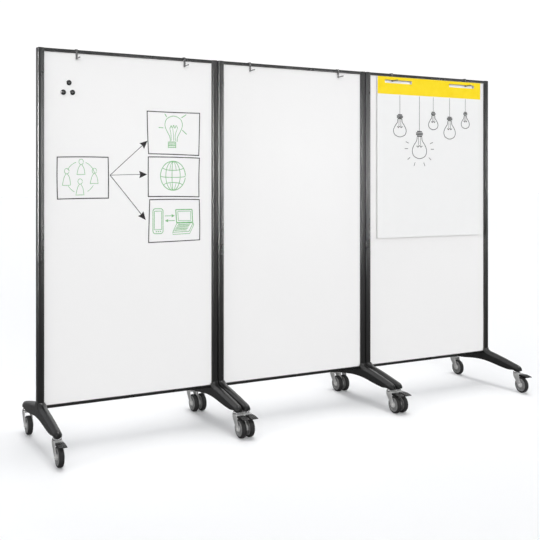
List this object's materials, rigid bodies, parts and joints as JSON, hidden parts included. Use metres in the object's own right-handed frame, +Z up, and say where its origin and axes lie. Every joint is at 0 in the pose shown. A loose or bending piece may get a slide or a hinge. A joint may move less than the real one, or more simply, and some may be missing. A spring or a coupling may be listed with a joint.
{
  "type": "rolling whiteboard",
  "caption": "Tall rolling magnetic whiteboards standing post to post as a wall, on arched feet with swivel casters, with hooks over the top rails and a hanging flip-chart pad.",
  "frame": {"origin": "on the floor, at the centre of the bounding box's base", "axes": "+X along the wall to the right as the writer faces it, -Y towards the writer, +Z up"},
  "size_m": [2.2816, 0.568, 1.5317],
  "materials": {
    "post": "satin dark grey",
    "rail": "satin dark grey",
    "foot": "dark grey powder coat",
    "board": "smooth white dry-wipe",
    "fork": "bright zinc and chrome",
    "wheel": "grey rubber",
    "pedal": "black moulded",
    "hook": "satin grey",
    "pad": "white sheets"
  },
  "bodies": {
    "middle_unit": {"middle_unit_post_left": "post", "middle_unit_post_right": "post", "middle_unit_top_rail": "rail", "middle_unit_bottom_rail": "rail", "middle_unit_board": "board", "middle_unit_foot_left": "foot", "middle_unit_foot_right": "foot"},
    "left_unit": {"left_unit_post_left": "post", "left_unit_post_right": "post", "left_unit_top_rail": "rail", "left_unit_bottom_rail": "rail", "left_unit_board": "board", "left_unit_foot_left": "foot", "left_unit_foot_right": "foot"},
    "right_unit": {"right_unit_post_left": "post", "right_unit_post_right": "post", "right_unit_top_rail": "rail", "right_unit_bottom_rail": "rail", "right_unit_board": "board", "right_unit_foot_left": "foot", "right_unit_foot_right": "foot"},
    "left_unit_front_left_fork": {"left_unit_front_left_fork": "fork"},
    "left_unit_front_left_wheel": {"left_unit_front_left_wheel": "wheel"},
    "left_unit_front_left_pedal": {"left_unit_front_left_pedal": "pedal"},
    "left_unit_rear_left_fork": {"left_unit_rear_left_fork": "fork"},
    "left_unit_rear_left_wheel": {"left_unit_rear_left_wheel": "wheel"},
    "left_unit_front_right_fork": {"left_unit_front_right_fork": "fork"},
    "left_unit_front_right_wheel": {"left_unit_front_right_wheel": "wheel"},
    "left_unit_front_right_pedal": {"left_unit_front_right_pedal": "pedal"},
    "left_unit_rear_right_fork": {"left_unit_rear_right_fork": "fork"},
    "left_unit_rear_right_wheel": {"left_unit_rear_right_wheel": "wheel"},
    "left_unit_hook_left": {"left_unit_hook_left": "hook"},
    "left_unit_hook_right": {"left_unit_hook_right": "hook"},
    "middle_unit_front_left_fork": {"middle_unit_front_left_fork": "fork"},
    "middle_unit_front_left_wheel": {"middle_unit_front_left_wheel": "wheel"},
    "middle_unit_front_left_pedal": {"middle_unit_front_left_pedal": "pedal"},
    "middle_unit_rear_left_fork": {"middle_unit_rear_left_fork": "fork"},
    "middle_unit_rear_left_wheel": {"middle_unit_rear_left_wheel": "wheel"},
    "middle_unit_front_right_fork": {"middle_unit_front_right_fork": "fork"},
    "middle_unit_front_right_wheel": {"middle_unit_front_right_wheel": "wheel"},
    "middle_unit_front_right_pedal": {"middle_unit_front_right_pedal": "pedal"},
    "middle_unit_rear_right_fork": {"middle_unit_rear_right_fork": "fork"},
    "middle_unit_rear_right_wheel": {"middle_unit_rear_right_wheel": "wheel"},
    "middle_unit_hook_left": {"middle_unit_hook_left": "hook"},
    "middle_unit_hook_right": {"middle_unit_hook_right": "hook"},
    "right_unit_front_left_fork": {"right_unit_front_left_fork": "fork"},
    "right_unit_front_left_wheel": {"right_unit_front_left_wheel": "wheel"},
    "right_unit_front_left_pedal": {"right_unit_front_left_pedal": "pedal"},
    "right_unit_rear_left_fork": {"right_unit_rear_left_fork": "fork"},
    "right_unit_rear_left_wheel": {"right_unit_rear_left_wheel": "wheel"},
    "right_unit_front_right_fork": {"right_unit_front_right_fork": "fork"},
    "right_unit_front_right_wheel": {"right_unit_front_right_wheel": "wheel"},
    "right_unit_front_right_pedal": {"right_unit_front_right_pedal": "pedal"},
    "right_unit_rear_right_fork": {"right_unit_rear_right_fork": "fork"},
    "right_unit_rear_right_wheel": {"right_unit_rear_right_wheel": "wheel"},
    "right_unit_hook_left": {"right_unit_hook_left": "hook"},
    "right_unit_hook_right": {"right_unit_hook_right": "hook"},
    "flip_chart_pad": {"flip_chart_pad": "pad"}
  },
  "joints": [
    {"name": "left_unit_roll_apart", "type": "slide", "parent": "middle_unit", "child": "left_unit", "axis": [-1, 0, 0], "range_m": [0, 0.4]},
    {"name": "right_unit_roll_apart", "type": "slide", "parent": "middle_unit", "child": "right_unit", "axis": [1, 0, 0], "range_m": [0, 0.4]},
    {"name": "left_unit_front_left_swivel", "type": "hinge", "parent": "left_unit", "child": "left_unit_front_left_fork", "pos_m": [-1.1228, -0.2, 0.1], "axis": [0, 0, 1], "continuous": true},
    {"name": "left_unit_front_left_roll", "type": "hinge", "parent": "left_unit_front_left_fork", "child": "left_unit_front_left_wheel", "pos_m": [-1.1228, -0.233, 0.0375], "axis": [1, 0, 0], "continuous": true},
    {"name": "left_unit_front_left_brake", "type": "hinge", "parent": "left_unit_front_left_fork", "child": "left_unit_front_left_pedal", "pos_m": [-1.1228, -0.216, 0.0835], "axis": [1, 0, 0], "range_deg": [0, 8]},
    {"name": "left_unit_rear_left_swivel", "type": "hinge", "parent": "left_unit", "child": "left_unit_rear_left_fork", "pos_m": [-1.1228, 0.256, 0.1], "axis": [0, 0, 1], "continuous": true},
    {"name": "left_unit_rear_left_roll", "type": "hinge", "parent": "left_unit_rear_left_fork", "child": "left_unit_rear_left_wheel", "pos_m": [-1.1228, 0.223, 0.0375], "axis": [1, 0, 0], "continuous": true},
    {"name": "left_unit_front_right_swivel", "type": "hinge", "parent": "left_unit", "child": "left_unit_front_right_fork", "pos_m": [-0.3988, -0.2, 0.1], "axis": [0, 0, 1], "range_deg": [-180, 0]},
    {"name": "left_unit_front_right_roll", "type": "hinge", "parent": "left_unit_front_right_fork", "child": "left_unit_front_right_wheel", "pos_m": [-0.3988, -0.233, 0.0375], "axis": [1, 0, 0], "continuous": true},
    {"name": "left_unit_front_right_brake", "type": "hinge", "parent": "left_unit_front_right_fork", "child": "left_unit_front_right_pedal", "pos_m": [-0.3988, -0.216, 0.0835], "axis": [1, 0, 0], "range_deg": [0, 8]},
    {"name": "left_unit_rear_right_swivel", "type": "hinge", "parent": "left_unit", "child": "left_unit_rear_right_fork", "pos_m": [-0.3988, 0.256, 0.1], "axis": [0, 0, 1], "range_deg": [-180, 0]},
    {"name": "left_unit_rear_right_roll", "type": "hinge", "parent": "left_unit_rear_right_fork", "child": "left_unit_rear_right_wheel", "pos_m": [-0.3988, 0.223, 0.0375], "axis": [1, 0, 0], "continuous": true},
    {"name": "middle_unit_front_left_swivel", "type": "hinge", "parent": "middle_unit", "child": "middle_unit_front_left_fork", "pos_m": [-0.362, -0.2, 0.1], "axis": [0, 0, 1], "range_deg": [0, 180]},
    {"name": "middle_unit_front_left_roll", "type": "hinge", "parent": "middle_unit_front_left_fork", "child": "middle_unit_front_left_wheel", "pos_m": [-0.362, -0.233, 0.0375], "axis": [1, 0, 0], "continuous": true},
    {"name": "middle_unit_front_left_brake", "type": "hinge", "parent": "middle_unit_front_left_fork", "child": "middle_unit_front_left_pedal", "pos_m": [-0.362, -0.216, 0.0835], "axis": [1, 0, 0], "range_deg": [0, 8]},
    {"name": "middle_unit_rear_left_swivel", "type": "hinge", "parent": "middle_unit", "child": "middle_unit_rear_left_fork", "pos_m": [-0.362, 0.256, 0.1], "axis": [0, 0, 1], "range_deg": [0, 180]},
    {"name": "middle_unit_rear_left_roll", "type": "hinge", "parent": "middle_unit_rear_left_fork", "child": "middle_unit_rear_left_wheel", "pos_m": [-0.362, 0.223, 0.0375], "axis": [1, 0, 0], "continuous": true},
    {"name": "middle_unit_front_right_swivel", "type": "hinge", "parent": "middle_unit", "child": "middle_unit_front_right_fork", "pos_m": [0.362, -0.2, 0.1], "axis": [0, 0, 1], "range_deg": [-180, 0]},
    {"name": "middle_unit_front_right_roll", "type": "hinge", "parent": "middle_unit_front_right_fork", "child": "middle_unit_front_right_wheel", "pos_m": [0.362, -0.233, 0.0375], "axis": [1, 0, 0], "continuous": true},
    {"name": "middle_unit_front_right_brake", "type": "hinge", "parent": "middle_unit_front_right_fork", "child": "middle_unit_front_right_pedal", "pos_m": [0.362, -0.216, 0.0835], "axis": [1, 0, 0], "range_deg": [0, 8]},
    {"name": "middle_unit_rear_right_swivel", "type": "hinge", "parent": "middle_unit", "child": "middle_unit_rear_right_fork", "pos_m": [0.362, 0.256, 0.1], "axis": [0, 0, 1], "range_deg": [-180, 0]},
    {"name": "middle_unit_rear_right_roll", "type": "hinge", "parent": "middle_unit_rear_right_fork", "child": "middle_unit_rear_right_wheel", "pos_m": [0.362, 0.223, 0.0375], "axis": [1, 0, 0], "continuous": true},
    {"name": "right_unit_front_left_swivel", "type": "hinge", "parent": "right_unit", "child": "right_unit_front_left_fork", "pos_m": [0.3988, -0.2, 0.1], "axis": [0, 0, 1], "range_deg": [0, 180]},
    {"name": "right_unit_front_left_roll", "type": "hinge", "parent": "right_unit_front_left_fork", "child": "right_unit_front_left_wheel", "pos_m": [0.3988, -0.233, 0.0375], "axis": [1, 0, 0], "continuous": true},
    {"name": "right_unit_front_left_brake", "type": "hinge", "parent": "right_unit_front_left_fork", "child": "right_unit_front_left_pedal", "pos_m": [0.3988, -0.216, 0.0835], "axis": [1, 0, 0], "range_deg": [0, 8]},
    {"name": "right_unit_rear_left_swivel", "type": "hinge", "parent": "right_unit", "child": "right_unit_rear_left_fork", "pos_m": [0.3988, 0.256, 0.1], "axis": [0, 0, 1], "range_deg": [0, 180]},
    {"name": "right_unit_rear_left_roll", "type": "hinge", "parent": "right_unit_rear_left_fork", "child": "right_unit_rear_left_wheel", "pos_m": [0.3988, 0.223, 0.0375], "axis": [1, 0, 0], "continuous": true},
    {"name": "right_unit_front_right_swivel", "type": "hinge", "parent": "right_unit", "child": "right_unit_front_right_fork", "pos_m": [1.1228, -0.2, 0.1], "axis": [0, 0, 1], "continuous": true},
    {"name": "right_unit_front_right_roll", "type": "hinge", "parent": "right_unit_front_right_fork", "child": "right_unit_front_right_wheel", "pos_m": [1.1228, -0.233, 0.0375], "axis": [1, 0, 0], "continuous": true},
    {"name": "right_unit_front_right_brake", "type": "hinge", "parent": "right_unit_front_right_fork", "child": "right_unit_front_right_pedal", "pos_m": [1.1228, -0.216, 0.0835], "axis": [1, 0, 0], "range_deg": [0, 8]},
    {"name": "right_unit_rear_right_swivel", "type": "hinge", "parent": "right_unit", "child": "right_unit_rear_right_fork", "pos_m": [1.1228, 0.256, 0.1], "axis": [0, 0, 1], "continuous": true},
    {"name": "right_unit_rear_right_roll", "type": "hinge", "parent": "right_unit_rear_right_fork", "child": "right_unit_rear_right_wheel", "pos_m": [1.1228, 0.223, 0.0375], "axis": [1, 0, 0], "continuous": true},
    {"name": "left_unit_hook_left_slide", "type": "slide", "parent": "left_unit", "child": "left_unit_hook_left", "axis": [1, 0, 0], "range_m": [-0.1, 0.1]},
    {"name": "left_unit_hook_right_slide", "type": "slide", "parent": "left_unit", "child": "left_unit_hook_right", "axis": [1, 0, 0], "range_m": [-0.1, 0.1]},
    {"name": "middle_unit_hook_left_slide", "type": "slide", "parent": "middle_unit", "child": "middle_unit_hook_left", "axis": [1, 0, 0], "range_m": [-0.1, 0.1]},
    {"name": "middle_unit_hook_right_slide", "type": "slide", "parent": "middle_unit", "child": "middle_unit_hook_right", "axis": [1, 0, 0], "range_m": [-0.1, 0.1]},
    {"name": "right_unit_hook_left_slide", "type": "slide", "parent": "right_unit", "child": "right_unit_hook_left", "axis": [1, 0, 0], "range_m": [-0.04, 0.04]},
    {"name": "right_unit_hook_right_slide", "type": "slide", "parent": "right_unit", "child": "right_unit_hook_right", "axis": [1, 0, 0], "range_m": [-0.04, 0.04]},
    {"name": "pad_draw_off", "type": "slide", "parent": "right_unit", "child": "flip_chart_pad", "axis": [0, -0.9903, 0.1392], "range_m": [0, 0.05]}
  ]
}
